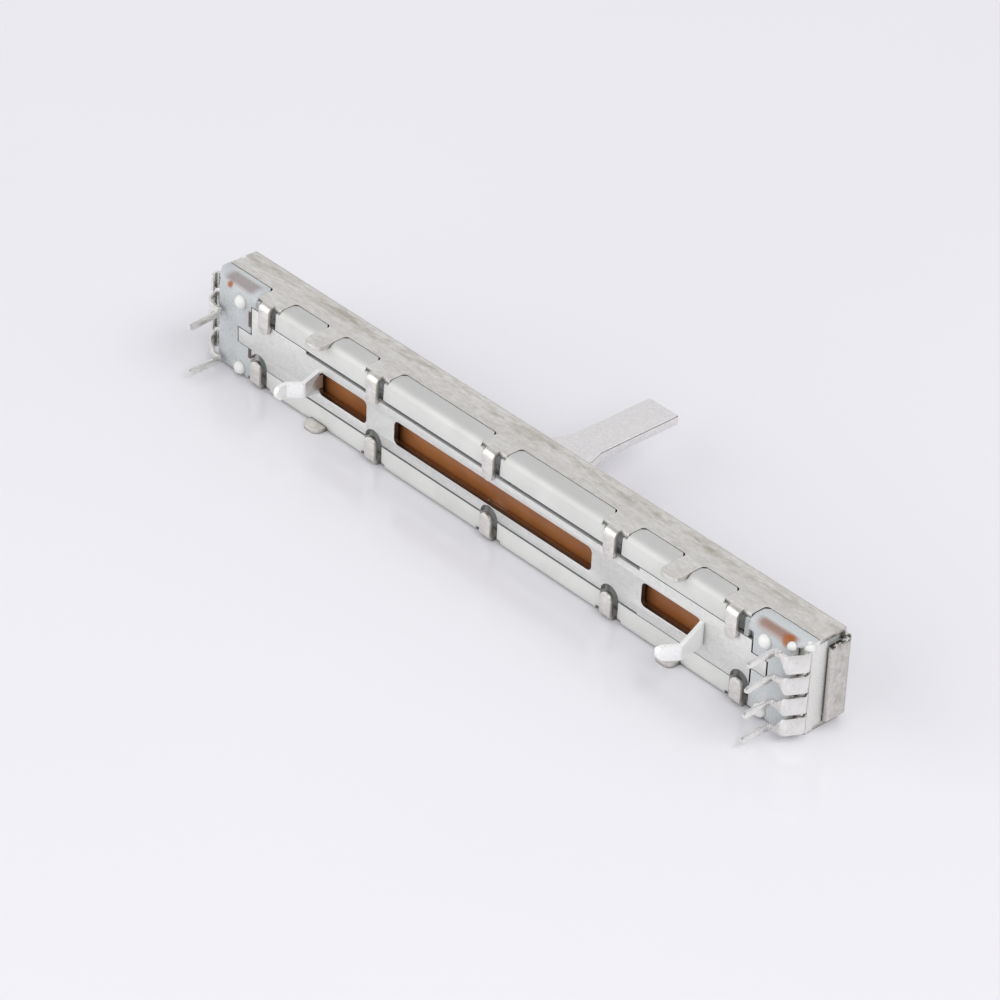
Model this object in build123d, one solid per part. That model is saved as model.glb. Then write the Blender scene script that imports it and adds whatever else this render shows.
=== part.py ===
"""A dual-gang slide potentiometer with 60 mm of travel, lying on one long side wall.

X runs along the body, Y is the way the lever points, and Z is up. The origin is on the
outer face of the lower side wall, midway along the body and midway through its depth.
All sizes are in millimetres.
"""
import os

from build123d import *

# Overall sizes
body_length = 88.0          # over the outer faces of the two end flaps
body_width = 10.6           # across the two side walls of the cover, along Z
body_depth = 6.4            # from the bottom plate's outer face to the mounting face, along Y
half_length = body_length / 2
mid = body_width / 2
travel = body_length - 28.0     # full stroke of the lever

# Cover, folded from sheet steel
sheet = 0.5
bend_radius = 0.8           # outer radius of its folds
wall_end_inset = 0.8        # how far the side walls stop short of the end flaps' outer faces
wall_corner = 0.6           # corner radius at the far ends of the side walls
flap_width = body_width - 1.9
flap_reach = 0.46094 * body_depth       # depth of an end flap, down from the mounting face
window_back = 0.38281 * body_depth      # front of the part to the back edge of the side walls' windows
window_corner = 0.45
neck_width = 3.5            # wall left between two windows, where a hook tab starts
tab_width = 1.5
tab_pitch = 0.39773 * half_length           # centre tab to the next one
upper_outer_tab = half_length - 9.6         # centre to the outermost tab in the upper wall
lower_outer_tab = half_length - 8.4         # the same in the lower wall
tongue_place = 0.59545 * half_length        # centre to a flat locating tongue
tongue_shift = 0.25         # both tongues of a wall sit this far to the right of that
tongue_width = 2.4
tongue_reach = 1.45         # how far a tongue stands out past the plate
tongue_corner = 0.85
slot_side_gap = 0.35        # lever to the long edges of its slot
slot_end_gap = 0.4          # lever to the ends of its slot at the ends of the travel
screw_pitch = body_length - 8.0
screw_hole_radius = 1.25    # tapping hole for M3
collar_radius = 1.8         # drawn collar round a screw hole
collar_depth = 0.23438 * body_depth     # length of the thread, sheet and collar together

# Bottom plate
plate_sheet = 0.5
plate_end = half_length - 7.2       # centre to the plate's straight ends
plate_end_half = 0.51887 * mid      # half its width near the ends
plate_upper_half = 0.39623 * mid    # middle stretch, centre line up to the edge
plate_lower_half = 0.45283 * mid    # middle stretch, centre line down to the edge
plate_middle_left = -0.64091 * half_length
plate_middle_right = 0.48636 * half_length
plate_ear_half = plate_end_half + 0.95      # centre line up to the top of an end ear
plate_ear_width = 1.35
plate_tongue_end = plate_end + 2.1
plate_tongue_half = 0.16415 * mid
plate_tongue_offset = 0.09434 * mid         # right tongue above the centre line, left one below it
plate_end_gap = 0.2         # open slit between the plate's ends and the end blocks
window_half = 0.26038 * mid                 # half height of the plate's windows
notch_bridge = 0.07         # steel left between a window and the notch below it
plate_notch_radius = plate_end_half - window_half - notch_bridge    # round the tip of a lower tab
plate_window_corner = 0.6
left_window_start = 17.95 - half_length
left_window_end = -0.42386 * half_length
middle_window_start = -0.32727 * half_length
middle_window_end = 0.33636 * half_length
right_window_start = 0.49659 * half_length
right_window_end = half_length - 14.0
upper_tab_tip = mid - plate_end_half + 0.9  # upper face down to the tip of an upper tab
lower_tab_tip = mid - plate_end_half + 0.6  # lower face up to the tip of a lower tab
lug_width = 1.65
lug_lift = -0.23            # lug's centre line, from the plate's
lug_kink = 1.97             # left lug: plate to its first bend
lug_kink_length = 1.35
lug_kink_aside = 1.09
lug_end_length = 1.43
right_lug_reach = 3.53      # right lug: plate to its bend
right_lug_aside = 0.79
right_lug_return = 1.36
right_lug_end_length = 2.11
lug_radius = 0.5
pin_reach = 4.9             # plate to the tips of the pins

# Moulded housing and end blocks
gap = 0.05                  # clearance between pieces that are fitted together
block_recess = 0.05         # moulded blocks below the cover's outer faces
block_radius = 1.0          # long rounded edges of the moulded blocks, upper side
lower_block_radius = 0.25   # the same, lower side
housing_end = plate_end - 0.6
housing_wall = 0.85         # side wall beside the carriage
tab_relief = 1.3            # half width of the recess behind a tab
tab_relief_depth = 1.2
pocket_step = 0.1           # plate pocket wider than the plate on each side
gutter = 0.7                # groove beside the plate's narrow middle, below the front
rear_window_margin = 0.45   # housing's windows beyond the plate's
end_block_end = half_length - 0.7
end_block_front = half_length - 1.95        # centre to the recess that the terminals fill
terminal_recess = 1.4       # depth of that recess
recess_lip = 0.5            # wall left over and under the recess
flap_notch = 0.6            # block cut back behind the cover's corners

# Resistor board
board_depth = 0.19531 * body_depth  # front of the part to the board's outer face
board_thickness = 0.16406 * body_depth
board_end = half_length - 1.8
board_half_width = mid - 0.95
track_thickness = 0.05
track_end = half_length - 4.3
resistive_offset = 0.54717 * mid    # centre line to a resistive track
resistive_width = 0.24528 * mid
collector_offset = 0.20755 * mid
collector_width = 0.16981 * mid
stake_place = half_length - 5.45
stake_half_pitch = board_half_width - 0.33
stake_lift = -0.4           # stakes' centre line, from the part's
stake_radius = 0.72
stake_rise = 0.5
stake_sides = 12            # heat stakes are faceted

# Terminals
terminal_sheet = 0.3
terminal_width = 0.36792 * mid
terminal_pitch = 0.45283 * mid      # between the wide strips
pin_pitch = 0.54717 * mid           # between the pins that they end in
pin_width = 0.7
pin_place = half_length - 3.0
pin_bend = 5.0              # degrees that the left end's upper pin is bent down
terminal_inner_end = half_length - 4.1
terminal_outer_end = half_length - 0.15     # the strip's turn round the corner
terminal_turn = 0.4         # middle radius of that turn
terminal_crest = 0.6        # middle radius of the turn that follows, in front of the plate
right_crest_back = 1.2      # turn to the strip's flat run in front of the plate
right_crest_out = 1.15      # how far in front that run is
left_crest_back = 0.9
left_crest_out = 0.6
short_end_back = 0.65       # turn to the end of a strip with no pin
short_end_out = 0.05
flat_taper = 0.9            # run over which a strip narrows to its pin
pin_taper = 0.18
pin_radius = 0.3            # middle radius of the bend into the pin
eyelet_place = half_length - 3.3
eyelet_radius = 0.4
eyelet_head_radius = 0.7
eyelet_head = 0.12
eyelet_sides = 8            # eyelets are faceted

# Slider
lever_width = 4.4
lever_thickness = 1.13
lever_reach = 17.6          # mounting face to the lever's tip
lever_base_width = 5.5
lever_base_reach = 6.6      # mounting face to the step in the lever
lever_flare = 1.6           # length of the flare from the lever's width to its foot's
lever_corner = 0.35
lever_chamfer = 0.15
lever_root = 0.5            # depth of moulding left under the lever
carriage_length = 12.0
carriage_side_gap = 0.2
carriage_lift = 0.125 * body_depth      # board to the underside of the carriage
carriage_shoulder = 0.08594 * body_depth    # carriage's ends below the cover's inner face
carriage_boss_gap = 0.15    # its middle below the cover's inner face
carriage_boss_length = carriage_length - 5.0
carriage_boss_inset = 1.2   # carriage's long sides to the sides of the boss
carriage_corner = 0.4
rod_radius = 0.09375 * body_depth
rod_running_gap = 0.06
rod_half_pitch = mid - 2.55
rod_depth = 0.21875 * body_depth        # cover's inner face to the rods' centre lines
rod_end = half_length - 6.1
wiper_sheet = 0.12
wiper_gap = 0.03            # contact tips to the tracks, at the tolerance limit
wiper_root_start = 2.0      # centre of the carriage to the wiper's riveted root
wiper_root_length = 2.2
wiper_finger_width = 0.5
wiper_finger_reach = 2.4
wiper_toe_length = 0.8
wiper_toe_rise = 0.35
spring_sheet = 0.12
spring_margin = 0.2         # leaf spring to the boss and to the carriage's end
spring_width = 2.4
spring_bend = 0.55          # bend radius over the spring's length

# Levels that follow from the sizes above
front = -body_depth / 2
back = body_depth / 2
plate_inner = front + plate_sheet
board_outer = front + board_depth
board_inner = board_outer + board_thickness
cover_inner = back - sheet
wall_end = half_length - wall_end_inset
window_line = front + window_back
sides = (-1, 1)
upper_tabs = [-upper_outer_tab, -tab_pitch, 0, tab_pitch, upper_outer_tab]
lower_tabs = [-lower_outer_tab, -tab_pitch, 0, tab_pitch, lower_outer_tab]
window_spans = [
    (left_window_start, left_window_end),
    (middle_window_start, middle_window_end),
    (right_window_start, right_window_end),
]


def bar(x0, x1, y0, y1, z0, z1):
    """A block between two corners."""
    size = (x1 - x0, y1 - y0, z1 - z0)
    return Pos((x0 + x1) / 2, (y0 + y1) / 2, (z0 + z1) / 2) * Box(*size)


def post(x, y0, y1, z, radius):
    """A round post along Y."""
    return Pos(x, (y0 + y1) / 2, z) * Rot(90, 0, 0) * Cylinder(radius, y1 - y0)


def facet_post(x, y0, y1, z, radius, facets):
    """A small faceted post along Y, for rivets, stakes and what they pass through."""
    prism = extrude(RegularPolygon(radius, facets), amount=y1 - y0)
    return Pos(x, y1, z) * Rot(90, 0, 0) * prism


def strip(points, radii, thickness, z0, z1):
    """A bent strip of sheet: its middle line in plan, swept with its width along Z."""
    path = FilletPolyline(*points, radius=radii) if radii else Line(*points)
    start = Vector(*points[0])
    run = Vector(*points[1]) - start
    across = Plane(origin=(start.X, start.Y, (z0 + z1) / 2), x_dir=(0, 0, 1), z_dir=run)
    lifted = Pos(0, 0, (z0 + z1) / 2) * path
    return sweep(across * Rectangle(z1 - z0, thickness), path=lifted)


def flip(shape):
    """The same shape turned over to the other side wall."""
    return mirror(shape, about=Plane.XY.offset(mid))


def window_spans_of(tabs):
    """Where the side wall is cut away: between its tabs, its tongues and its ends."""
    half_neck = neck_width / 2
    half_tongue = tongue_width / 2
    lands = [(x - half_neck, x + half_neck) for x in tabs]
    for side in sides:
        x = side * tongue_place + tongue_shift
        lands.append((x - half_tongue, x + half_tongue))
    lands.sort()
    starts = [-half_length] + [end for _, end in lands]
    ends = [start for start, _ in lands] + [half_length]
    return list(zip(starts, ends))


def hook_tab(x, tip):
    """One tab of the upper wall, folded down over the plate, with a round tip."""
    wall = body_width - sheet / 2
    face = front - gap - sheet / 2
    fold = bend_radius - sheet / 2
    path = FilletPolyline((window_line, wall), (face, wall), (face, body_width - tip), radius=fold)
    across = Plane(origin=(0, window_line, wall), x_dir=(1, 0, 0), z_dir=(0, -1, 0))
    line = Plane.YZ * path
    tab = sweep(across * Rectangle(tab_width, sheet), path=line)
    half = tab_width / 2
    centre = body_width - tip + half
    outline = post(0, 2 * front, 0, centre, half) + bar(-half, half, 2 * front, 0, centre, body_width)
    return Pos(x, 0, 0) * (tab & outline)


def wall_outline(tabs):
    """Plan of one side wall before its tabs are folded."""
    reach = front - tongue_reach
    plan = Pos(0, (back + reach) / 2) * Rectangle(2 * wall_end, back - reach)
    for a, b in window_spans_of(tabs):
        cut = Pos((a + b) / 2, (window_line + reach) / 2 - 1) * Rectangle(b - a, window_line - reach + 2)
        plan -= fillet_back(cut, abs(a) > tabs[-1] or abs(b) > tabs[-1])
    for x in tabs:
        plan -= Pos(x, reach - 1) * Rectangle(neck_width + 1, 2 * (front + bend_radius / 2 - reach + 1))
    plan = fillet(plan.vertices().filter_by(lambda v: v.Y < reach + 0.1), tongue_corner)
    return fillet(plan.vertices().filter_by(lambda v: v.Y > back - 0.1), wall_corner)


def fillet_back(cut, at_end):
    """Rounds the back corners of a wall's window, or the one corner of a window at the end."""
    corners = cut.vertices().filter_by(lambda v: v.Y > window_line - 0.1)
    if at_end:
        corners = [min(corners, key=lambda v: abs(v.X))]
    return fillet(corners, window_corner)


def make_cover():
    """Steel cover: mounting face, two side walls with windows and hook tabs, two end flaps."""
    reach = front - tongue_reach
    section = Pos((back + reach) / 2, mid) * Rectangle(back - reach, body_width)
    section = fillet(section.vertices().filter_by(lambda v: v.X > 0), bend_radius)
    hollow = Pos((cover_inner + reach) / 2, mid) * Rectangle(cover_inner - reach, body_width - 2 * sheet)
    hollow = fillet(hollow.vertices().filter_by(lambda v: v.X > 0), bend_radius - sheet)
    channel = extrude(Plane.YZ * (section - hollow), amount=wall_end, both=True)
    upper = extrude(wall_outline(upper_tabs), amount=body_width)
    lower = extrude(wall_outline(lower_tabs), amount=body_width)
    keep_upper = bar(-half_length, half_length, reach - 1, back + 1, mid, body_width + 1)
    keep_lower = bar(-half_length, half_length, reach - 1, back + 1, -1, mid)
    cover = channel & ((upper & keep_upper) + (lower & keep_lower))
    for x in upper_tabs:
        cover += hook_tab(x, upper_tab_tip)
    for x in lower_tabs:
        cover += flip(hook_tab(x, lower_tab_tip))
    flap_low = mid - flap_width / 2
    flap_high = mid + flap_width / 2
    for side in sides:
        face = side * (half_length - sheet / 2)
        base = back - sheet / 2
        points = [(side * (wall_end - 2), base), (face, base), (face, back - flap_reach)]
        cover += strip(points, bend_radius - sheet / 2, sheet, flap_low, flap_high)
    slot_half = travel / 2 + lever_base_width / 2 + slot_end_gap
    slot_rise = lever_thickness / 2 + slot_side_gap
    slot = SlotOverall(2 * slot_half, 2 * slot_rise)
    cover -= Pos(0, back + 1, mid) * Rot(90, 0, 0) * extrude(slot, amount=sheet + 2)
    for side in sides:
        x = side * screw_pitch / 2
        cover += post(x, back - collar_depth, cover_inner, mid, collar_radius)
        cover -= post(x, back - collar_depth - 1, back + 1, mid, screw_hole_radius)
    return cover


def plate_outline():
    """The plate's edge, seen from the front, in X and Z."""
    upper_end = mid + plate_end_half
    lower_end = mid - plate_end_half
    upper_middle = mid + plate_upper_half
    lower_middle = mid - plate_lower_half
    ear_top = mid + plate_ear_half
    ear_start = plate_end - plate_ear_width
    tongue_high = mid + plate_tongue_half
    tongue_low = mid - plate_tongue_half
    offset = plate_tongue_offset
    points = [
        (-plate_end, lower_end),
        (plate_middle_left, lower_end),
        (plate_middle_left, lower_middle),
        (plate_middle_right, lower_middle),
        (plate_middle_right, lower_end),
        (plate_end, lower_end),
        (plate_end, tongue_low + offset),
        (plate_tongue_end, tongue_low + offset),
        (plate_tongue_end, tongue_high + offset),
        (plate_end, tongue_high + offset),
        (plate_end, upper_end),
        (plate_middle_right, upper_end),
        (plate_middle_right, upper_middle),
        (plate_middle_left, upper_middle),
        (plate_middle_left, upper_end),
        (-ear_start, upper_end),
        (-ear_start, ear_top),
        (-plate_end, ear_top),
        (-plate_end, tongue_high - offset),
        (-plate_tongue_end, tongue_high - offset),
        (-plate_tongue_end, tongue_low - offset),
        (-plate_end, tongue_low - offset),
    ]
    return make_face(Polyline(*points, close=True))


def lug(x, runs):
    """A solder lug folded out of the plate beside a window, with snap-in kinks and a round tip."""
    path = [(x, plate_inner), (x, front)]
    for aside, out in runs:
        path.append((path[-1][0] + aside, path[-1][1] - out))
    if runs[0][0] == 0:
        path.pop(1)
    wide = strip(path, lug_radius, plate_sheet, mid - window_half, mid + window_half)
    root = front + plate_sheet / 2
    neck = front - runs[0][1]
    low = mid + lug_lift - lug_width / 2
    high = mid + lug_lift + lug_width / 2
    tip = path[-1][1] + lug_width / 2
    foot_low = mid - window_half
    foot_high = mid + window_half
    points = [(root, foot_low), (neck, low), (tip, low), (tip, high), (neck, high), (root, foot_high)]
    outline = make_face(Polyline(*points, close=True))
    outline += Pos(tip, mid + lug_lift) * Circle(lug_width / 2)
    outline += Pos(plate_inner, mid) * Rectangle(plate_sheet, 2 * window_half)
    return wide & extrude(Plane.YZ.offset(x - lug_width * 3) * outline, amount=lug_width * 6)


def make_bottom_plate():
    """Steel plate under the tabs, with three windows and two solder lugs."""
    blank = plate_outline()
    for a, b in window_spans:
        blank -= Pos((a + b) / 2, mid) * RectangleRounded(b - a, 2 * window_half, plate_window_corner)
    for x in lower_tabs:
        blank -= Pos(x, mid - plate_end_half) * Circle(plate_notch_radius)
    plate = Pos(0, plate_inner, 0) * extrude(Plane.XZ * blank, amount=plate_sheet)
    left = window_spans[0][0] - plate_sheet / 2
    right = window_spans[-1][1] + plate_sheet / 2
    left_runs = [(0, lug_kink), (-lug_kink_aside, lug_kink_length), (0, lug_end_length)]
    right_runs = [(right_lug_aside, right_lug_reach), (-right_lug_return, right_lug_end_length)]
    plate += lug(left, left_runs)
    plate += lug(right, right_runs)
    return plate


def moulded_block(x0, x1, radius):
    """One block that fills a window of the upper wall, with a rounded long edge."""
    top = body_width - block_recess
    block = bar(x0 + gap, x1 - gap, front, window_line - gap, mid + plate_end_half + pocket_step, top)
    edge = block.edges().filter_by(Axis.X).sort_by(lambda e: e.center().Z - e.center().Y)[-1]
    block = fillet(edge, radius)
    corners = block.edges().filter_by(Axis.Z).filter_by(lambda e: e.center().Y > window_line - 2 * gap)
    return chamfer(corners, window_corner)


def window_blocks(tabs, radius):
    """The housing's blocks for one wall, all but the end windows, made at the upper wall."""
    return [moulded_block(a, b, radius) for a, b in window_spans_of(tabs)[1:-1]]


def make_housing():
    """Moulded frame that carries the board and guides the carriage."""
    low = sheet + gap
    high = body_width - sheet - gap
    rim = cover_inner - gap
    frame = bar(-housing_end, housing_end, front, rim, low, high)
    frame = fillet(frame.edges().filter_by(Axis.X).sort_by(Axis.Y)[-2:], bend_radius - sheet)
    for block in window_blocks(upper_tabs, block_radius):
        frame += block
    for block in window_blocks(lower_tabs, lower_block_radius):
        frame += flip(block)
    through = housing_end + 1
    pocket_half = plate_end_half + pocket_step
    frame -= bar(-through, through, front - 1, plate_inner, mid - pocket_half, mid + pocket_half)
    half = board_half_width + gap
    frame -= bar(-through, through, board_outer, board_inner, mid - half, mid + half)
    frame -= bar(-through, through, board_inner, rim + 1, low + housing_wall, high - housing_wall)
    rear = window_half + rear_window_margin
    for a, b in window_spans:
        more = rear_window_margin
        frame -= bar(a - more, b + more, plate_inner - 0.1, board_outer + 0.1, mid - rear, mid + rear)
    floor = front + tab_relief_depth
    ear_start = plate_end - plate_ear_width - gap
    frame -= bar(-through, -ear_start, front - 1, plate_inner, mid, mid + plate_ear_half + pocket_step)
    groove = front + gutter
    upper_edge = mid + plate_upper_half
    lower_edge = mid - plate_lower_half
    frame -= bar(plate_middle_left, plate_middle_right, front - 1, groove, upper_edge, mid + pocket_half)
    frame -= bar(plate_middle_left, plate_middle_right, front - 1, groove, mid - pocket_half, lower_edge)
    notch_top = mid - plate_end_half + plate_notch_radius
    for x in upper_tabs:
        frame -= bar(x - tab_relief, x + tab_relief, front - 1, floor, mid + pocket_half, body_width)
    for x in lower_tabs:
        frame -= bar(x - tab_relief, x + tab_relief, front - 1, floor, 0, notch_top)
    return frame


def corner_cut(x, z0, z1):
    """What comes off a block's corner where the wall's window has its round corner."""
    line = window_line - gap
    corner = make_face(Polyline((x, line), (x, line - window_corner), (x + window_corner, line), close=True))
    return Pos(0, 0, z0) * extrude(corner, amount=z1 - z0)


def strip_offsets():
    """Centre heights of the four terminals, from the top down, with their pins' heights."""
    return [(k, mid + k * terminal_pitch, mid + k * pin_pitch) for k in (1.5, 0.5, -0.5, -1.5)]


def make_end_block(tongue_offset):
    """Translucent block at the right-hand end: holds board, rods and terminals, by heat stakes."""
    low = sheet + gap
    high = body_width - sheet - gap
    top = body_width - block_recess
    start = housing_end + gap
    rim = cover_inner - gap
    line = window_line - gap
    block = bar(start, end_block_end, line, rim, low, high)
    block = fillet(block.edges().filter_by(Axis.X).sort_by(Axis.Y)[-2:], bend_radius - sheet)
    nose = bar(start, end_block_end, front, line, block_recess, top)
    front_edges = nose.edges().filter_by(Axis.X).sort_by(Axis.Y)[:2].sort_by(Axis.Z)
    nose = fillet(front_edges[0], lower_block_radius)
    front_edges = nose.edges().filter_by(Axis.X).filter_by(lambda e: e.center().Y < front + gap)
    nose = fillet(front_edges.sort_by(Axis.Z)[-1], block_radius)
    upper_start = upper_outer_tab + neck_width / 2 + gap
    lower_start = lower_outer_tab + neck_width / 2 + gap
    nose -= bar(start - 1, upper_start, front - 1, window_line, high, body_width)
    nose -= bar(start - 1, lower_start, front - 1, window_line, 0, low)
    nose -= corner_cut(max(start, upper_start), high, body_width)
    nose -= corner_cut(lower_start, 0, low)
    block += nose
    pocket_half = plate_end_half + pocket_step
    lower_relief = lower_outer_tab + tab_relief
    plate_stop = plate_end + plate_end_gap
    tongue = plate_tongue_half + pocket_step
    tongue_mid = mid + tongue_offset
    half = board_half_width + gap
    block -= bar(start - 1, lower_relief, front - 1, front + tab_relief_depth, 0, mid - pocket_half)
    ear = mid + plate_ear_half + pocket_step
    block -= bar(start - 1, plate_stop, front - 1, plate_inner, mid - pocket_half, ear)
    tongue_stop = plate_tongue_end + plate_end_gap
    block -= bar(start - 1, tongue_stop, front - 1, plate_inner, tongue_mid - tongue, tongue_mid + tongue)
    block -= bar(start - 1, board_end + gap, board_outer, board_inner, mid - half, mid + half)
    recess = front + terminal_recess
    beyond = end_block_end + 1
    points = [(end_block_front, front - 1), (beyond, front - 1), (beyond, recess)]
    points += [(end_block_end, recess), (end_block_front, front)]
    block -= extrude(make_face(Polyline(*points, close=True)), amount=body_width)
    block -= bar(end_block_front, end_block_end + 1, front - 1, recess, recess_lip, body_width - recess_lip)
    inside = board_inner + 2 * eyelet_head
    heads = eyelet_place + eyelet_head_radius + gap
    block -= bar(start - 1, heads, board_inner - 0.1, inside, mid - half, mid + half)
    deep = board_outer - terminal_sheet - gap
    rivet = eyelet_head_radius + gap
    deeper = deep - eyelet_head - gap
    slot = terminal_width / 2 + gap
    strip_start = terminal_inner_end - gap
    for _, z, _ in strip_offsets():
        block -= bar(strip_start, beyond, deep, board_outer + 0.1, z - slot, z + slot)
        block -= bar(eyelet_place - rivet, eyelet_place + rivet, deeper, board_outer, z - rivet, z + rivet)
    for side in sides:
        z = mid + stake_lift + side * stake_half_pitch
        shoulder = front - stake_rise / 2
        block += facet_post(stake_place, shoulder, board_inner, z, stake_radius, stake_sides)
        crown = extrude(RegularPolygon(stake_radius, stake_sides), amount=stake_rise / 2, taper=45)
        block += Pos(stake_place, shoulder, z) * Rot(90, 0, 0) * crown
        free = rod_radius + gap
        socket = bar(start - 1, rod_end + gap, -free, free, -free, free)
        block -= Pos(0, cover_inner - rod_depth, mid + side * rod_half_pitch) * socket
        corner_low = mid + side * (flap_width / 2 - flap_notch)
        notch = sorted((corner_low, mid + side * body_width))
        block -= bar(end_block_end - flap_notch, beyond, back - flap_reach, back, notch[0], notch[1])
    collar = collar_radius + gap
    screw = screw_pitch / 2
    return block - bar(screw - collar, screw + collar, inside, rim + 1, mid - collar, mid + collar)


def make_board():
    """Phenolic board, notched for the heat stakes and drilled for the eyelets."""
    low = mid - board_half_width
    high = mid + board_half_width
    board = bar(-board_end, board_end, board_outer, board_inner, low, high)
    for side in sides:
        for up in sides:
            z = mid + stake_lift + up * stake_half_pitch
            notch = stake_radius + gap
            board -= facet_post(side * stake_place, board_outer - 1, board_inner + 1, z, notch, stake_sides)
        for _, z, _ in strip_offsets():
            x = side * eyelet_place
            board -= facet_post(x, board_outer - 1, board_inner + 1, z, eyelet_radius, eyelet_sides)
    return board


def make_track(offset, width):
    """One printed track on the board's inner face."""
    z = mid + offset
    low = z - width / 2
    return bar(-track_end, track_end, board_inner, board_inner + track_thickness, low, low + width)


def terminal_strip(z, path, radii):
    """The wide part of a terminal, from under its eyelet round the end of the block."""
    inner = board_outer - terminal_sheet / 2 - gap / 5
    points = [(terminal_inner_end, inner), (terminal_outer_end, inner)] + path
    wide = strip(points, radii, terminal_sheet, z - terminal_width / 2, z + terminal_width / 2)
    return wide - facet_post(eyelet_place, inner - 1, inner + 1, z, eyelet_radius, eyelet_sides)


def make_terminal(strip_z, pin_z, crest_back, crest_out, bend):
    """A tinned strip at the right-hand end: along the board, round the corner, out as a pin."""
    crest = terminal_outer_end - crest_back
    outer = front - crest_out
    join = pin_place + terminal_sheet / 2
    wide = terminal_strip(strip_z, [(crest, outer), (join, outer)], (terminal_turn, terminal_crest))
    low = strip_z - terminal_width / 2
    high = strip_z + terminal_width / 2
    pin_low = max(low, pin_z - pin_width / 2)
    pin_high = min(high, pin_z + pin_width / 2)
    narrow = crest - flat_taper
    beyond = terminal_inner_end - 1
    near = outer + terminal_sheet
    for edge, pin_edge, away in ((low, pin_low, low - 1), (high, pin_high, high + 1)):
        if pin_edge != edge:
            points = [(crest, edge), (narrow, pin_edge), (beyond, pin_edge), (beyond, away), (crest, away)]
            cut = make_face(Polyline(*points, close=True))
            wide -= Pos(0, near, 0) * extrude(Plane.XZ * cut, amount=2)
    tip = front - pin_reach
    half = pin_width / 2
    run = [(narrow, outer), (pin_place, outer), (pin_place, tip)]
    pin = strip(run, pin_radius, terminal_sheet, pin_z - half, pin_z + half)
    slim = half - pin_taper
    shoulder = tip + 2 * pin_taper
    points = [(tip, -slim), (shoulder, -half), (1, -half), (1, half), (shoulder, half), (tip, slim)]
    outline = Pos(0, pin_z) * make_face(Polyline(*points, close=True))
    pin &= extrude(Plane.YZ * outline, amount=body_length)
    return wide + pin.rotate(Axis((narrow, outer, pin_z), (1, 0, 0)), bend)


def make_short_terminal(strip_z):
    """A strip that ends at its turn, with no pin."""
    end = (terminal_outer_end - short_end_back, front - short_end_out)
    return terminal_strip(strip_z, [end], terminal_turn)


def make_eyelets():
    """The tubular rivets that clamp the terminals to the board."""
    outer = board_outer - terminal_sheet - gap / 5
    rivets = []
    for side in sides:
        x = side * eyelet_place
        for _, z, _ in strip_offsets():
            rivet = facet_post(x, outer, board_inner, z, eyelet_radius, eyelet_sides)
            for y in (outer - eyelet_head, board_inner):
                rivet += facet_post(x, y, y + eyelet_head, z, eyelet_head_radius, eyelet_sides)
            rivets.append(rivet)
    return Compound(children=rivets)


def make_lever():
    """Flat steel lever, its wider foot held in the carriage."""
    foot = board_inner + carriage_lift + lever_root
    step = back + lever_base_reach
    tip = back + lever_reach
    wide = lever_base_width / 2
    slim = lever_width / 2
    flare = step - lever_flare
    right = [(wide, foot), (wide, flare), (slim, step), (slim, tip)]
    points = right + [(-x, y) for x, y in reversed(right)]
    plan = make_face(Polyline(*points, close=True))
    plan = fillet(plan.vertices().filter_by(lambda v: v.Y > tip - 0.1), lever_corner)
    low = mid - lever_thickness / 2
    blade = Pos(0, 0, low) * extrude(plan, amount=lever_thickness)
    return chamfer(blade.edges().filter_by(Axis.X).sort_by(Axis.Y)[-2:], lever_chamfer)


def make_carriage(lever):
    """Moulded carriage, moulded round the lever's foot and bored for the guide rods."""
    under = board_inner + carriage_lift
    half = carriage_length / 2
    cavity_half = mid - sheet - gap - housing_wall
    rise = cavity_half - carriage_side_gap
    shoulder = cover_inner - carriage_shoulder
    boss = cover_inner - carriage_boss_gap
    block = bar(-half, half, under, shoulder, mid - rise, mid + rise)
    block = chamfer(block.edges().filter_by(Axis.Y), carriage_corner)
    boss_half = carriage_boss_length / 2
    boss_rise = rise - carriage_boss_inset
    block += bar(-boss_half, boss_half, under, boss, mid - boss_rise, mid + boss_rise)
    for side in sides:
        z = mid + side * rod_half_pitch
        bore = Pos(0, cover_inner - rod_depth, z) * Rot(0, 90, 0)
        block -= bore * Cylinder(rod_radius + rod_running_gap, carriage_length + 2)
    return block - lever


def make_rod(side):
    """Ground steel guide rod."""
    place = Pos(0, cover_inner - rod_depth, mid + side * rod_half_pitch) * Rot(0, 90, 0)
    return place * Cylinder(rod_radius, 2 * rod_end)


def make_wiper(side):
    """Spring-bronze contact under the carriage: one finger on each track of its gang."""
    under = board_inner + carriage_lift
    base = under - wiper_sheet / 2
    touch = board_inner + track_thickness + wiper_gap + wiper_sheet / 2
    finger = wiper_finger_width / 2
    span = sorted((mid + side * (collector_offset - finger), mid + side * (resistive_offset + finger)))
    root_end = wiper_root_start + wiper_root_length
    wiper = bar(wiper_root_start, root_end, under - wiper_sheet, under, span[0], span[1])
    reach = -wiper_finger_reach
    toe = reach - wiper_toe_length
    for offset in (collector_offset, resistive_offset):
        z = mid + side * offset
        root = [(wiper_root_start + 1, base), (wiper_root_start - 0.4, base)]
        points = root + [(reach, touch), (toe, touch + wiper_toe_rise)]
        wiper += strip(points, (1.0, 0.5), wiper_sheet, z - finger, z + finger)
    return wiper


def make_leaf_spring(side):
    """Bowed strip on one end of the carriage that rubs lightly on the cover."""
    seat = cover_inner - carriage_shoulder + spring_sheet / 2
    crest = cover_inner - gap - spring_sheet / 2
    inner = carriage_boss_length / 2 + spring_margin
    outer = carriage_length / 2 - spring_margin
    middle = (inner + outer) / 2
    points = [(side * inner, seat), (side * middle, crest), (side * outer, seat)]
    half = spring_width / 2
    return strip(points, spring_bend * (outer - inner), spring_sheet, mid - half, mid + half)


def other_end(shape):
    """The same piece at the left-hand end."""
    return mirror(shape, about=Plane.YZ)


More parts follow.
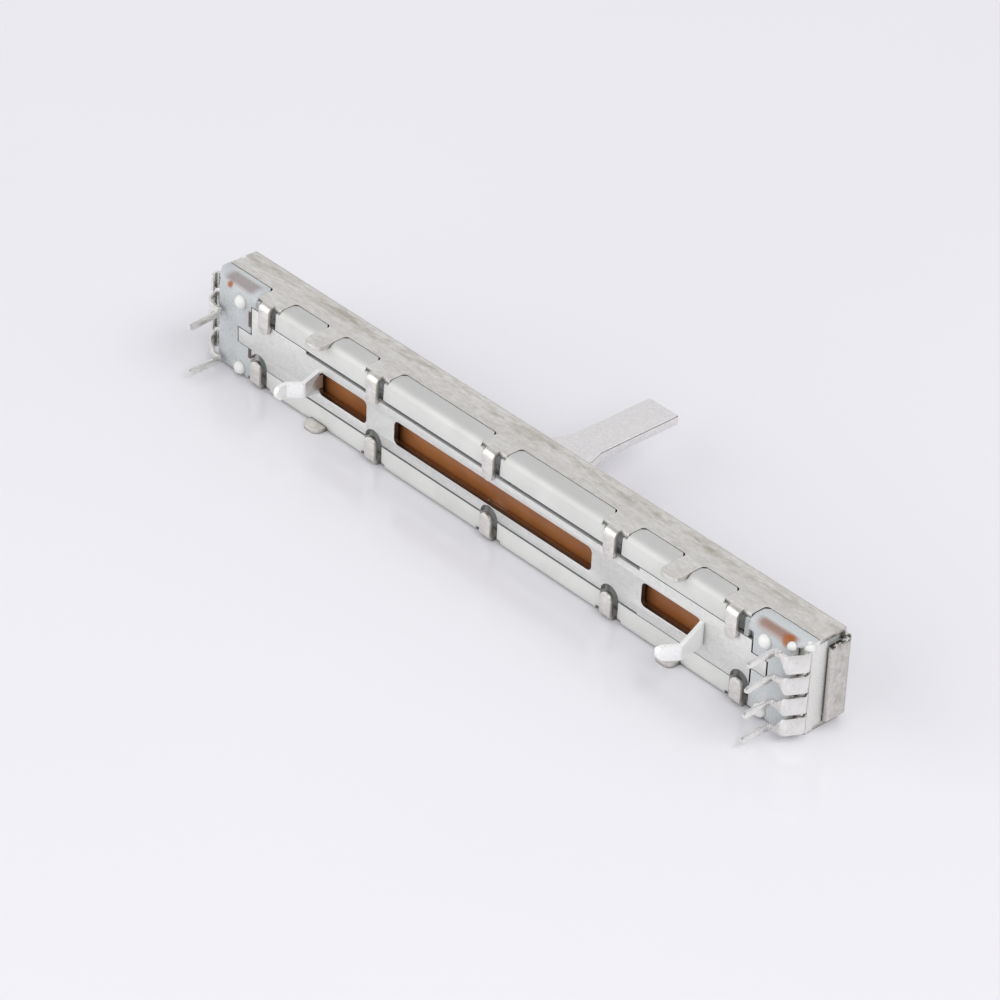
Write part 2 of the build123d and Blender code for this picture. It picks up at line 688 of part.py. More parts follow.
def make_parts():
    """Every piece by name."""
    lever = make_lever()
    end_block = make_end_block(plate_tongue_offset)
    left_block = make_end_block(-plate_tongue_offset)
    parts = {
        "cover": make_cover(),
        "housing": make_housing(),
        "right_end_block": end_block,
        "left_end_block": other_end(left_block),
        "bottom_plate": make_bottom_plate(),
        "resistor_board": make_board(),
        "eyelets": make_eyelets(),
        "lever": lever,
        "slider_carriage": make_carriage(lever),
    }
    for number, side in enumerate(sides, 1):
        parts[f"resistive_track_{number}"] = make_track(side * resistive_offset, resistive_width)
        parts[f"collector_track_{number}"] = make_track(side * collector_offset, collector_width)
        parts[f"guide_rod_{number}"] = make_rod(side)
        parts[f"wiper_{number}"] = make_wiper(side)
        parts[f"leaf_spring_{number}"] = make_leaf_spring(side)
    for number, (_, strip_z, pin_z) in enumerate(strip_offsets(), 1):
        right = make_terminal(strip_z, pin_z, right_crest_back, right_crest_out, 0)
        parts[f"terminal_right_{number}"] = right
        if number % 2:
            left = make_short_terminal(strip_z)
        else:
            bend = pin_bend if number == 2 else 0
            left = make_terminal(strip_z, pin_z, left_crest_back, left_crest_out, bend)
        parts[f"terminal_left_{number}"] = other_end(left)
    return parts


os.makedirs("parts", exist_ok=True)
for name, shape in make_parts().items():
    export_step(shape, f"parts/{name}.step")
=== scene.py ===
"""A dual-gang slide potentiometer lying on one long side wall, on a pale table."""
import math

import bmesh
import bpy
from mathutils import Matrix, Vector


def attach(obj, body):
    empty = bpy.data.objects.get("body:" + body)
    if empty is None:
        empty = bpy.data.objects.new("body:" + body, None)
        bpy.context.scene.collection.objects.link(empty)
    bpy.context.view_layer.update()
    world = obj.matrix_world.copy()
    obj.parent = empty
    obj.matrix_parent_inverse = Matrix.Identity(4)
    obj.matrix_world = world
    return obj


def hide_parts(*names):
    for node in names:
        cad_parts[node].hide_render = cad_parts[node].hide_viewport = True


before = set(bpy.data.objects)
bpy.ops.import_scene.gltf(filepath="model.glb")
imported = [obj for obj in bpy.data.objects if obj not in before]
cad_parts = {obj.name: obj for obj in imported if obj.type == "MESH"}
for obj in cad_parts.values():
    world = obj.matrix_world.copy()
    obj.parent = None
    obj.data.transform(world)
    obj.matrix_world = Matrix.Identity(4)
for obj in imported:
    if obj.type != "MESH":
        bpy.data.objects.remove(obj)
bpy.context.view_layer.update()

# Camera: the photograph's angle, with the long lens of a product shot of something this small.
# Its place and the picture's right and up directions come from the edges of the part in the photo.
camera_data = bpy.data.cameras.new("camera")
camera_data.lens = 180
camera_data.sensor_width = 36
camera = bpy.data.objects.new("camera", camera_data)
across = Vector((0.670932, 0.740497, 0.038911))
upward = Vector((-0.438082, 0.353497, 0.826513))
turned = Matrix((across, upward, across.cross(upward))).transposed().to_4x4()
camera.matrix_world = Matrix.Translation((0.29747, -0.28595, 0.28317)) @ turned
bpy.context.scene.collection.objects.link(camera)
bpy.context.scene.camera = camera
bpy.context.scene.view_settings.view_transform = "Standard"


# Table: a pale laminate sheet, wiped clean, glossy enough to mirror the bright lugs faintly. It is
# one flat sheet that lies under the part and reaches past the picture on every side.
def add(tree, kind, settings=None, inputs=None):
    """One shader node, with its settings, and its inputs given as values or as other sockets."""
    made = tree.nodes.new("ShaderNode" + kind)
    for name, value in (settings or {}).items():
        setattr(made, name, value)
    for name, value in (inputs or {}).items():
        if isinstance(value, bpy.types.NodeSocket):
            tree.links.new(value, made.inputs[name])
        else:
            made.inputs[name].default_value = value
    return made


def remap(tree, value, low, high, bottom=0.0, top=1.0, run="LINEAR"):
    """A value taken from one range to another and held at the ends of it."""
    made = add(tree, "MapRange", {"interpolation_type": run}, {
        "Value": value, "From Min": low, "From Max": high, "To Min": bottom, "To Max": top})
    return made.outputs["Result"]


def finish_of(name, constants):
    """A new material: its node tree and its Principled shader, with the shader's constants set."""
    material = bpy.data.materials.new(name)
    material.use_nodes = True
    tree = material.node_tree
    shader = tree.nodes["Principled BSDF"]
    for socket, value in constants.items():
        shader.inputs[socket].default_value = value
    return material, tree, shader


table_mesh = bpy.data.meshes.new("table")
table_shape = bmesh.new()
bmesh.ops.create_grid(table_shape, x_segments=1, y_segments=1, size=3)
table_shape.to_mesh(table_mesh)
table_shape.free()
table = bpy.data.objects.new("table", table_mesh)
bpy.context.scene.collection.objects.link(table)
laminate, tree, shader = finish_of("table_laminate", {"Specular IOR Level": 0.3})
place = add(tree, "TexCoord").outputs["Object"]
cloudy = add(tree, "TexNoise", inputs={"Vector": place, "Scale": 6.0, "Detail": 3.0})
tone = add(tree, "ValToRGB", inputs={"Fac": cloudy.outputs["Fac"]})
tone.color_ramp.elements[0].position = 0.3
tone.color_ramp.elements[0].color = (0.80, 0.792, 0.826, 1)
tone.color_ramp.elements[1].position = 0.7
tone.color_ramp.elements[1].color = (0.83, 0.821, 0.855, 1)
tree.links.new(tone.outputs["Color"], shader.inputs["Base Color"])
wiped = add(tree, "TexNoise", inputs={"Vector": place, "Scale": 40.0, "Detail": 5.0})
sheen = remap(tree, wiped.outputs["Fac"], 0.0, 1.0, 0.10, 0.22)
tree.links.new(sheen, shader.inputs["Roughness"])
table_mesh.materials.append(laminate)


# Studio light: a room that is bright behind the part and dim in front of it, with a paler band low
# down in front. A large softbox in front on the left lights the long rounded edges, one by the
# camera lights the bent tin, and one high on the right gives the shadow.
def axes(tree, vector):
    """The X, Y and Z of a vector."""
    return add(tree, "SeparateXYZ", inputs={"Vector": vector}).outputs


def product(tree, first, *others):
    """Two or more values multiplied."""
    for other in others:
        first = add(tree, "Math", {"operation": "MULTIPLY"}, {0: first, 1: other}).outputs["Value"]
    return first


world = bpy.data.worlds.new("pale_room")
bpy.context.scene.world = world
world.use_nodes = True
sky = world.node_tree
room = sky.nodes["Background"]
room.inputs["Color"].default_value = (0.97, 0.975, 1.0, 1)
bearing = axes(sky, add(sky, "TexCoord").outputs["Generated"])
front_level = 0.44
back_level = 0.82
depth = remap(sky, bearing["Y"], -0.3, 0.55, front_level, back_level, "SMOOTHSTEP")
ceiling = remap(sky, bearing["Z"], 0.6, 0.95, 1.0, 0.94, "SMOOTHSTEP")
low = remap(sky, bearing["Z"], 0.5, 0.2, run="SMOOTHSTEP")
ahead = remap(sky, bearing["Y"], -0.15, -0.7, 0.0, 0.35, "SMOOTHSTEP")
band = product(sky, low, ahead)
plain = product(sky, depth, ceiling)
level = add(sky, "Math", {"operation": "ADD"}, {0: plain, 1: band})
sky.links.new(level.outputs["Value"], room.inputs["Strength"])


def softbox(name, place, width, height, watts):
    """A rectangular area lamp that faces the part."""
    data = bpy.data.lights.new(name, "AREA")
    data.shape = "RECTANGLE"
    data.size = width
    data.size_y = height
    data.energy = watts
    lamp = bpy.data.objects.new(name, data)
    lamp.location = place
    lamp.rotation_euler = Vector(place).to_track_quat("Z", "Y").to_euler()
    bpy.context.scene.collection.objects.link(lamp)


softbox("softbox_front", (-0.46, -0.90, 0.52), width=1.9, height=0.9, watts=7.0)
softbox("softbox_by_camera", (0.70, -0.48, 0.60), width=0.55, height=0.45, watts=2.4)
softbox("softbox_right", (0.58, 0.26, 0.74), width=0.75, height=0.5, watts=2.7)


# Cover: one strip of tin-plated steel sheet, blanked and folded into a channel with hook tabs
# along both walls, tongues between them and a flap at each end. Rolled and faintly stained, with
# painted shade: a dark line along the fold, a darker right-hand end flap, and a ragged patch near
# black at its right-hand corner that stands for the shadow inside a crumple.
def laid_over(tree, share, under, over):
    """One colour over another by a share. The node takes colours at 6 and 7 and gives one at 2."""
    both = add(tree, "Mix", {"data_type": "RGBA"}, {0: share, 6: under, 7: over})
    return both.outputs[2]


def crevices():
    """How open a place is: 0 deep in a gap or a recess, 1 out in the light."""
    group = bpy.data.node_groups.new("crevices", "ShaderNodeTree")
    group.interface.new_socket("Reach", in_out="INPUT", socket_type="NodeSocketFloat")
    group.interface.new_socket("Open", in_out="OUTPUT", socket_type="NodeSocketFloat")
    inside = group.nodes.new("NodeGroupInput")
    out = group.nodes.new("NodeGroupOutput")
    near = add(group, "AmbientOcclusion", {"samples": 6}, {"Distance": inside.outputs["Reach"]})
    share = remap(group, near.outputs["AO"], 0.22, 0.74, run="SMOOTHSTEP")
    group.links.new(share, out.inputs["Open"])
    return group


open_places = crevices()


def shaded(tree, shader, colour, reach, deep):
    """Painted shade in the crevices: darker where gaps and recesses would lie in shadow, over a
    finish's colour.
    """
    gaps = tree.nodes.new("ShaderNodeGroup")
    gaps.node_tree = open_places
    gaps.inputs["Reach"].default_value = reach
    mixed = laid_over(tree, gaps.outputs["Open"], (*deep, 1), colour)
    tree.links.new(mixed, shader.inputs["Base Color"])


def within(tree, value, low, high, soft):
    """1 between two values, with soft ends."""
    rise = remap(tree, value, low - soft, low + soft, run="SMOOTHSTEP")
    fall = remap(tree, value, high + soft, high - soft, run="SMOOTHSTEP")
    return product(tree, rise, fall)


def sheet_marks():
    """Rolled plated sheet: cloudy mottle, fine scratches along X and a height for both."""
    group = bpy.data.node_groups.new("sheet_marks", "ShaderNodeTree")
    for name in ("Mottle Scale", "Mottle Stretch", "Scratch Scale", "Scratch Stretch"):
        group.interface.new_socket(name, in_out="INPUT", socket_type="NodeSocketFloat")
    for name in ("Mottle", "Height"):
        group.interface.new_socket(name, in_out="OUTPUT", socket_type="NodeSocketFloat")
    inside = group.nodes.new("NodeGroupInput")
    out = group.nodes.new("NodeGroupOutput")
    where = add(group, "TexCoord").outputs["Object"]
    noises = {}
    for kind, settings in (
            ("Mottle", {"Detail": 6.0, "Roughness": 0.65, "Distortion": 0.4}),
            ("Scratch", {"Detail": 4.0})):
        stretch = add(group, "CombineXYZ", inputs={
            "X": inside.outputs[kind + " Stretch"], "Y": 1.0, "Z": 1.0})
        drawn = add(group, "VectorMath", {"operation": "MULTIPLY"}, {
            0: where, 1: stretch.outputs["Vector"]})
        noises[kind] = add(group, "TexNoise", inputs={
            "Vector": drawn.outputs["Vector"], "Scale": inside.outputs[kind + " Scale"],
            **settings}).outputs["Fac"]
    lines = remap(group, noises["Scratch"], 0.56, 0.72)
    height = add(group, "Math", {"operation": "MULTIPLY_ADD"}, {
        0: lines, 1: -0.4, 2: noises["Mottle"]})
    group.links.new(noises["Mottle"], out.inputs["Mottle"])
    group.links.new(height.outputs["Value"], out.inputs["Height"])
    return group


plated_marks = sheet_marks()
sheet_reach = 0.0009


def plated_sheet(name, dark, light, rough, mottle, scratch, relief, drawn=1.0, deep=0.22,
                 metallic=1.0, overlaid=False):
    """A plated sheet finish in two tones, rougher where it is dull, with painted crevice shade. An
    overlaid one is left without it, so that stains and painted shade can go over the tones first."""
    material, tree, shader = finish_of(name, {"Metallic": metallic})
    marks = tree.nodes.new("ShaderNodeGroup")
    marks.node_tree = plated_marks
    marks.inputs["Mottle Scale"].default_value = mottle
    marks.inputs["Mottle Stretch"].default_value = drawn
    marks.inputs["Scratch Scale"].default_value = scratch
    marks.inputs["Scratch Stretch"].default_value = 0.12
    tones = remap(tree, marks.outputs["Mottle"], 0.32, 0.68)
    colour = laid_over(tree, tones, (*dark, 1), (*light, 1))
    gloss = remap(tree, marks.outputs["Mottle"], 0.3, 0.7, rough[1], rough[0])
    bump = add(tree, "Bump", inputs={
        "Height": marks.outputs["Height"], "Strength": relief, "Distance": 0.00005})
    if not overlaid:
        shaded(tree, shader, colour, sheet_reach, tuple(deep * c for c in dark))
    tree.links.new(gloss, shader.inputs["Roughness"])
    tree.links.new(bump.outputs["Normal"], shader.inputs["Normal"])
    return material, tree, shader, colour


def eased(node, body, roll, material):
    """Stands for a CAD node: its own shape, with every sharp edge rolled over by a small radius."""
    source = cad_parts[node].data
    shape = bmesh.new()
    shape.from_mesh(source)
    bmesh.ops.remove_doubles(shape, verts=shape.verts, dist=1e-7)
    bmesh.ops.dissolve_limit(
        shape, angle_limit=math.radians(0.3), verts=shape.verts, edges=shape.edges)
    limit = math.radians(30)
    sharp = [e for e in shape.edges if len(e.link_faces) == 2 and e.calc_face_angle(0) > limit]
    bmesh.ops.bevel(
        shape, geom=sharp, offset=roll, offset_type="OFFSET", affect="EDGES", segments=2,
        profile=0.5, material=-1, clamp_overlap=True)
    mesh = bpy.data.meshes.new(node + "_eased")
    shape.to_mesh(mesh)
    shape.free()
    for face in mesh.polygons:
        face.use_smooth = True
    mesh.set_sharp_from_angle(angle=math.radians(40))
    mesh.materials.append(material)
    piece = bpy.data.objects.new(node + "_finished", mesh)
    bpy.context.scene.collection.objects.link(piece)
    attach(piece, body)
    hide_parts(node)
    return piece


tinned_cover, tree, shader, colour = plated_sheet(
    "tinned_cover", (0.69, 0.66, 0.615), (0.885, 0.865, 0.835), (0.30, 0.42),
    mottle=2600.0, scratch=6000.0, relief=0.16, drawn=0.4, overlaid=True)
where = add(tree, "TexCoord").outputs["Object"]
place = axes(tree, where)
lengthwise = add(tree, "VectorMath", {"operation": "MULTIPLY"}, {0: where, 1: (0.28, 1.0, 1.0)})
cloud = add(tree, "TexNoise", inputs={
    "Vector": lengthwise.outputs["Vector"], "Scale": 900.0, "Detail": 5.0, "Roughness": 0.7})
patches = remap(tree, cloud.outputs["Fac"], 0.42, 0.66)
by_fold = within(tree, place["Y"], 0.0009, 0.0024, soft=0.0007)
worn = product(tree, patches, by_fold, 0.65)
stained = laid_over(tree, worn, colour, (0.37, 0.325, 0.25, 1))
# Painted shade: a dark line along the fold, where the sheet turns over the far edge.
fold = within(tree, place["Y"], 0.00258, 0.00270, soft=0.00007)
fold_shade = laid_over(tree, product(tree, fold, 0.45), stained, (0.22, 0.20, 0.19, 1))
facing = axes(tree, add(tree, "TexCoord").outputs["Normal"])
# Painted shade: faces that look to the right, on the end flap, are painted darker.
end_flap_shade = remap(tree, facing["X"], 0.7, 0.95, 0.0, 0.3)
ends = laid_over(tree, end_flap_shade, fold_shade, (0.42, 0.395, 0.37, 1))
# Painted shadow: a ragged patch near black at the right-hand corner, for the inside of a crumple.
ragged_edge = add(tree, "TexNoise", inputs={
    "Vector": where, "Scale": 1300.0, "Detail": 3.0, "Roughness": 0.6})
corner = product(
    tree,
    within(tree, place["X"], 0.04335, 0.05, soft=0.00012),
    within(tree, place["Y"], -0.0009, 0.0031, soft=0.0003),
    within(tree, place["Z"], 0.0094, 0.02, soft=0.0002),
    remap(tree, ragged_edge.outputs["Fac"], 0.43, 0.52))
corner_shade = laid_over(tree, corner, ends, (0.05, 0.04, 0.042, 1))
shaded(tree, shader, corner_shade, sheet_reach, (0.22, 0.21, 0.19))
eased("cover", "body", 0.00004, tinned_cover)

# Bottom plate: smooth bright-plated sheet under the hook tabs, three windows punched through it
# and a solder lug folded out at the end of two of them. Blanked, so its edges are slightly rolled,
# and wide enough to leave only a narrow groove to the housing above and below it.
bright_plate = plated_sheet(
    "bright_plate", (0.74, 0.74, 0.72), (0.835, 0.835, 0.815), (0.46, 0.56),
    mottle=3600.0, scratch=7000.0, relief=0.03, drawn=0.6)[0]
plate = eased("bottom_plate", "body", 0.00004, bright_plate)
groove_left = -0.0283
groove_right = 0.0215
upper_edge = (0.00725, 0.00745)
lower_edge = (0.00285, 0.00305)
for corner in plate.data.vertices:
    spot = corner.co
    if groove_left < spot.x < groove_right and spot.y > -0.0033:
        if upper_edge[0] < spot.z < upper_edge[1]:
            spot.z += 0.00026
        elif lower_edge[0] < spot.z < lower_edge[1]:
            spot.z -= 0.0002

# Lever: a blank of plated steel strip with a matt finish, its wide foot moulded into the carriage.
# A thin dark line is painted along the upper edge of its blanked sides: painted shade on that edge.
matt_lever, tree, shader, colour = plated_sheet(
    "matt_lever", (0.79, 0.765, 0.76), (0.93, 0.905, 0.90), (0.30, 0.42),
    mottle=3500.0, scratch=7000.0, relief=0.35, overlaid=True)
place = axes(tree, add(tree, "TexCoord").outputs["Object"])
# Painted shade: a thin dark line along the top of the lever's sides.
edge_shade_band = within(tree, place["Z"], 0.00574, 0.00583, soft=0.00003)
edge_shaded = laid_over(tree, edge_shade_band, colour, (0.2, 0.19, 0.19, 1))
shaded(tree, shader, edge_shaded, sheet_reach, (0.2, 0.195, 0.19))
eased("lever", "slider", 0.00003, matt_lever)

# Terminals: thin tinned strips, blanked and bent. They are held to the board with eyelets and run
# round its ends; six of them end in round-cornered pins.
bright_tin = plated_sheet(
    "bright_tin", (0.79, 0.775, 0.75), (0.88, 0.87, 0.845), (0.22, 0.30),
    mottle=900.0, scratch=6000.0, relief=0.02)[0]
for side in ("left", "right"):
    for number in range(1, 5):
        eased(f"terminal_{side}_{number}", "body", 0.00003, bright_tin)


# Housing: one grey-green moulded frame inside the cover, satin from the tool. Its blocks show in
# the cover's windows, with well rounded long edges, and their tops are painted darker as shade.
def tool_skin():
    """Moulded plastic skin: broad uneven tone, fine grain and a height for the grain."""
    group = bpy.data.node_groups.new("tool_skin", "ShaderNodeTree")
    group.interface.new_socket("Grain Scale", in_out="INPUT", socket_type="NodeSocketFloat")
    for name in ("Tone", "Height"):
        group.interface.new_socket(name, in_out="OUTPUT", socket_type="NodeSocketFloat")
    inside = group.nodes.new("NodeGroupInput")
    out = group.nodes.new("NodeGroupOutput")
    where = add(group, "TexCoord").outputs["Object"]
    for output, scale in (("Tone", 220.0), ("Height", inside.outputs["Grain Scale"])):
        noise = add(group, "TexNoise", inputs={"Vector": where, "Scale": scale, "Detail": 3.0})
        group.links.new(noise.outputs["Fac"], out.inputs[output])
    return group


moulded_skin = tool_skin()
skin_reach = 0.0011


def moulded(name, dark, light, rough, grain, relief, constants, reach=skin_reach, overlaid=False):
    """A moulded plastic finish in two close tones, with painted crevice shade. An overlaid one is
    left without it, so that stains, painted shade and painted light can go over the tones first."""
    material, tree, shader = finish_of(name, constants)
    skin = tree.nodes.new("ShaderNodeGroup")
    skin.node_tree = moulded_skin
    skin.inputs["Grain Scale"].default_value = grain
    tones = remap(tree, skin.outputs["Tone"], 0.35, 0.65)
    colour = laid_over(tree, tones, (*dark, 1), (*light, 1))
    gloss = remap(tree, skin.outputs["Height"], 0.0, 1.0, rough[0], rough[1])
    bump = add(tree, "Bump", inputs={
        "Height": skin.outputs["Height"], "Strength": relief, "Distance": 0.00003})
    if not overlaid:
        shaded(tree, shader, colour, reach, tuple(0.35 * c for c in dark))
    tree.links.new(gloss, shader.inputs["Roughness"])
    tree.links.new(bump.outputs["Normal"], shader.inputs["Normal"])
    return material, tree, shader, colour


grey_green, tree, shader, colour = moulded(
    "grey_green_moulding", (0.64, 0.645, 0.62), (0.70, 0.705, 0.68), (0.28, 0.38),
    grain=9000.0, relief=0.15, overlaid=True, constants={
        "Subsurface Weight": 0.15,
        "Subsurface Radius": (0.0006, 0.0006, 0.0005),
        "Subsurface Scale": 1.0})
facing = axes(tree, add(tree, "TexCoord").outputs["Normal"])
# Painted shade: upward faces are painted darker.
painted_top_shade = remap(tree, facing["Z"], 0.75, 1.0, 0.0, 0.75)
top_shaded = laid_over(tree, painted_top_shade, colour, (0.43, 0.43, 0.42, 1))
shaded(tree, shader, top_shaded, skin_reach, (0.19, 0.193, 0.184))
housing = eased("housing", "body", 0.00011, grey_green)
block_front = -0.0032
round_start = 0.0099
round_end = 0.01012
round_height = 0.00027
round_depth = 0.00022
for corner in housing.data.vertices:
    spot = corner.co
    if round_start < spot.z < round_end and -0.00321 < spot.y < -0.0030:
        climbed = (spot.z - round_start) / round_height
        spot.y = block_front + round_depth * climbed ** 1.5


# End blocks: milky moulding, translucent, with stakes melted into domes over the board. Faces
# that look to the right are painted pale as painted light, the left-hand one has two painted slot
# shadows beside the plate, and the brown board shows through both as smeared strips and drops of
# flux.
def around(tree, where, centre, radius):
    """1 at a point, soft down to 0 at a radius."""
    apart = add(tree, "VectorMath", {"operation": "DISTANCE"}, {0: where, 1: centre})
    return remap(tree, apart.outputs["Value"], radius, radius * 0.35, run="SMOOTHSTEP")


milky, tree, shader, showing = moulded(
    "milky_moulding", (0.505, 0.525, 0.535), (0.575, 0.595, 0.605), (0.22, 0.34),
    grain=7000.0, relief=0.12, overlaid=True, constants={
        "Subsurface Weight": 0.35,
        "Subsurface Radius": (0.0012, 0.0011, 0.001),
        "Subsurface Scale": 1.0})
where = add(tree, "TexCoord").outputs["Object"]
place = axes(tree, where)
facing = axes(tree, add(tree, "TexCoord").outputs["Normal"])
# Painted light: faces that look to the right are painted paler.
painted_side_light = remap(tree, facing["X"], 0.7, 0.95, 0.0, 0.85)
showing = laid_over(tree, painted_side_light, showing, (0.77, 0.76, 0.73, 1))
# Painted shadow: two dark slots on the left-hand block beside the plate.
by_plate = within(tree, place["X"], -0.03735, -0.0368, soft=0.00005)
for low, high in ((0.0065, 0.0084), (0.0027, 0.0041)):
    painted_slot_shadow = product(tree, by_plate, within(tree, place["Z"], low, high, soft=0.0001))
    showing = laid_over(tree, painted_slot_shadow, showing, (0.10, 0.065, 0.05, 1))
for left, right, front, back, share, tint in (
        (0.0371, 0.0419, -0.00310, -0.00210, 0.78, (0.25, 0.10, 0.05, 1)),
        (-0.0416, -0.0372, -0.0029, -0.0014, 0.62, (0.21, 0.135, 0.13, 1))):
    strip = product(
        tree,
        within(tree, place["X"], left, right, soft=0.0006),
        within(tree, place["Y"], front, back, soft=0.0003),
        within(tree, place["Z"], 0.0098, 0.012, soft=0.0004),
        share)
    showing = laid_over(tree, strip, showing, tint)
for centre, radius in (
        ((0.0411, -0.0028, 0.0103), 0.0010),
        ((-0.0405, -0.0031, 0.0101), 0.00055)):
    drop = around(tree, where, centre, radius)
    showing = laid_over(tree, drop, showing, (0.34, 0.11, 0.028, 1))
shaded(tree, shader, showing, 0.0005, (0.24, 0.24, 0.245))
for side in ("left", "right"):
    eased(f"{side}_end_block", "body", 0.0001, milky)

# Melted plastic on the end blocks: the heads of four stakes, pressed hot into domes, and three
# blobs of the same plastic beside the terminals and on the left-hand end. Each has its place, its
# radius across and its radius in depth.
melted = moulded(
    "melted_stake", (0.74, 0.745, 0.715), (0.82, 0.825, 0.795), (0.18, 0.28),
    grain=7000.0, relief=0.1, constants={
        "Subsurface Weight": 0.3,
        "Subsurface Radius": (0.0008, 0.0008, 0.0007),
        "Subsurface Scale": 1.0})[0]
blobs = {
    "right_stake_top": (0.03855, -0.0032, 0.00892, 0.00080, 0.00066),
    "right_stake_bottom": (0.03855, -0.0032, 0.00088, 0.00080, 0.00066),
    "left_stake_top": (-0.03855, -0.0032, 0.00892, 0.00080, 0.00066),
    "left_stake_bottom": (-0.03855, -0.0032, 0.00088, 0.00080, 0.00066),
    "right_blob_near": (0.0418, -0.0030, 0.0100, 0.00052, 0.0005),
    "right_blob_far": (0.0429, -0.0018, 0.0100, 0.00062, 0.0006),
    "left_blob": (-0.0431, 0.0009, 0.0102, 0.00045, 0.0006),
}
for name, (x, y, z, wide, deep) in blobs.items():
    mesh = bpy.data.meshes.new(name)
    shape = bmesh.new()
    bmesh.ops.create_uvsphere(shape, u_segments=32, v_segments=16, radius=1.0)
    bmesh.ops.scale(shape, vec=(wide, deep, wide), verts=shape.verts)
    bmesh.ops.translate(shape, vec=(x, y, z), verts=shape.verts)
    shape.to_mesh(mesh)
    shape.free()
    for face in mesh.polygons:
        face.use_smooth = True
    mesh.materials.append(melted)
    blob = bpy.data.objects.new(name, mesh)
    bpy.context.scene.collection.objects.link(blob)
    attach(blob, "body")

# Resistor board: phenolic paper laminate with sawn edges, clamped between the housing and the
# plate. Its semi-matt brown face shows in the plate's windows.
phenolic = moulded(
    "phenolic_board", (0.27, 0.094, 0.026), (0.345, 0.130, 0.038), (0.36, 0.5),
    grain=6000.0, relief=0.12, constants={}, reach=0.0005)[0]
eased("resistor_board", "body", 0.00003, phenolic)

# Behind the plate the housing's window frames are painted dark brown as shadow, brown like the
# board on the rims that face up, and its groove and the recesses behind the hook tabs are painted
# grey as shade, brown at the height of the windows.
# Painted shadow: a dark brown finish for the window frames behind the plate.
painted_frame_shadow = moulded(
    "frame_shadow_moulding", (0.045, 0.026, 0.016), (0.075, 0.042, 0.024), (0.4, 0.55),
    grain=6000.0, relief=0.1, constants={})[0]
# Painted shade: a grey finish for the groove and the recesses behind the hook tabs, brown at the
# height of the windows.
painted_recess_shade, tree, shader, colour = moulded(
    "recess_shade_moulding", (0.34, 0.36, 0.37), (0.42, 0.44, 0.45), (0.4, 0.55),
    grain=6000.0, relief=0.1, constants={}, overlaid=True)
place = axes(tree, add(tree, "TexCoord").outputs["Object"])
between = within(tree, place["Z"], 0.0031, 0.0072, soft=0.00005)
recess_shade_browned = laid_over(tree, between, colour, (0.2, 0.075, 0.022, 1))
shaded(tree, shader, recess_shade_browned, sheet_reach, (0.13, 0.137, 0.14))
housing.data.materials.append(painted_frame_shadow)
housing.data.materials.append(painted_recess_shade)
housing.data.materials.append(phenolic)
frame_shadow_index = 1
recess_shade_index = 2
rim_index = 3
middle_height = 0.0053
recess_back = -0.0018
hook_tabs = [x / 1000 for x in (-34.4, -17.5, 0, 17.5, 34.4, -35.6, 35.6)]
tab_half = 0.00135
opening_half = 0.0019
groove_half = 0.0044
for face in housing.data.polygons:
    middle = face.center
    from_middle = abs(middle.z - middle_height)
    at_tab = min(abs(middle.x - x) for x in hook_tabs) < tab_half
    by_tab = at_tab and block_front < middle.y < recess_back
    behind = -0.0031 < middle.y < recess_back
    if behind and from_middle < opening_half:
        face.material_index = rim_index if face.normal.z > 0.5 else frame_shadow_index
    elif face.normal.y < -0.5 and (by_tab or (behind and from_middle < groove_half)):
        face.material_index = recess_shade_index

# The plate's blanked window edges are painted dark, a painted reflection of the dark board and
# shade behind the windows, and its lugs and the edge along the upper groove get a pale, smooth,
# half-metallic finish, a painted highlight for the light their plating mirrors.
# Painted reflection: a dark finish for the plate's window edges.
painted_edge_shade = plated_sheet(
    "window_edge_shade", (0.16, 0.14, 0.12), (0.26, 0.23, 0.2), (0.25, 0.4),
    mottle=3000.0, scratch=7000.0, relief=0.1)[0]
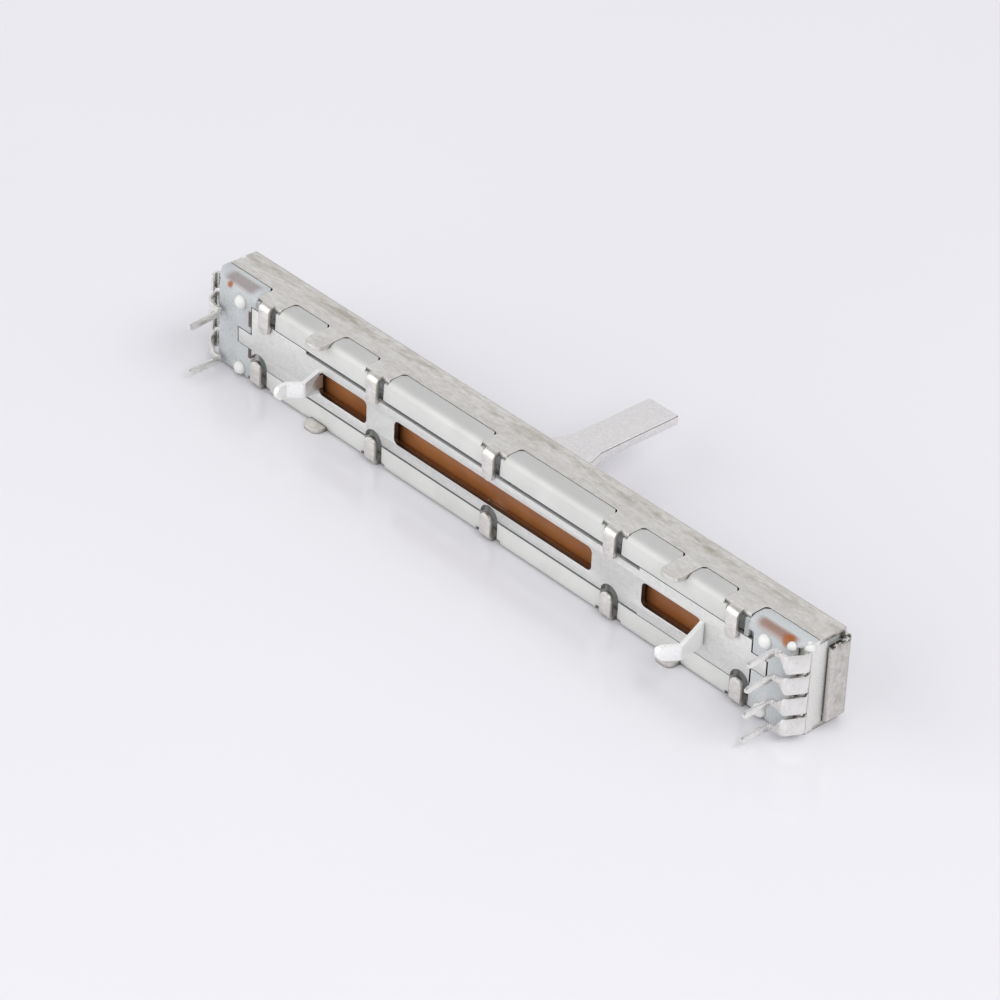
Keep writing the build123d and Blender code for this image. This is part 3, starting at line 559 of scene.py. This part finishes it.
# Painted highlight: a pale, half-metallic finish for the lugs and the upper groove's edge.
painted_pale_highlight = plated_sheet(
    "pale_highlight_finish", (0.93, 0.93, 0.915), (0.97, 0.97, 0.96), (0.26, 0.34),
    mottle=900.0, scratch=3000.0, relief=0.004, deep=0.55, metallic=0.45)[0]
plate.data.materials.append(painted_edge_shade)
plate.data.materials.append(painted_pale_highlight)
edge_shade_index = 1
pale_highlight_index = 2
plate_front = -0.0032
lug_start = -0.0037
window_half = 0.0015
for face in plate.data.polygons:
    middle = face.center
    over_groove = face.normal.z > 0.7 and groove_left < middle.x < groove_right
    across_edge = plate_front < middle.y < -0.0027 and abs(face.normal.y) < 0.3
    if middle.y < lug_start or (over_groove and middle.z > 0.0073):
        face.material_index = pale_highlight_index
    elif across_edge and abs(middle.z - middle_height) < window_half:
        face.material_index = edge_shade_index

# Inside: carriage, rods, wipers, springs, tracks and eyelets keep their CAD shapes. The carriage
# is a black moulding that slides on two ground rods; bronze wipers run on the printed tracks.
carriage = moulded(
    "black_moulding", (0.03, 0.03, 0.03), (0.05, 0.05, 0.05), (0.35, 0.5),
    grain=6000.0, relief=0.1, constants={})[0]
brass = plated_sheet(
    "tinned_brass", (0.6, 0.56, 0.46), (0.74, 0.71, 0.62), (0.2, 0.3),
    mottle=1500.0, scratch=6000.0, relief=0.1)[0]
ground = plated_sheet(
    "ground_rod", (0.62, 0.62, 0.63), (0.72, 0.72, 0.73), (0.14, 0.22),
    mottle=1500.0, scratch=6000.0, relief=0.08)[0]
bronze = plated_sheet(
    "spring_bronze", (0.50, 0.32, 0.17), (0.62, 0.42, 0.24), (0.2, 0.32),
    mottle=1500.0, scratch=6000.0, relief=0.1)[0]
carbon = moulded(
    "carbon_film", (0.015, 0.015, 0.017), (0.03, 0.03, 0.032), (0.45, 0.6),
    grain=9000.0, relief=0.1, constants={})[0]
silver = plated_sheet(
    "silver_print", (0.5, 0.5, 0.48), (0.64, 0.64, 0.62), (0.4, 0.5),
    mottle=2500.0, scratch=6000.0, relief=0.1)[0]
inner = {"slider_carriage": carriage, "eyelets": brass}
for number in (1, 2):
    inner[f"guide_rod_{number}"] = ground
    inner[f"wiper_{number}"] = bronze
    inner[f"leaf_spring_{number}"] = bronze
    inner[f"resistive_track_{number}"] = carbon
    inner[f"collector_track_{number}"] = silver
for node, material in inner.items():
    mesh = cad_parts[node].data
    mesh.materials.clear()
    mesh.materials.append(material)
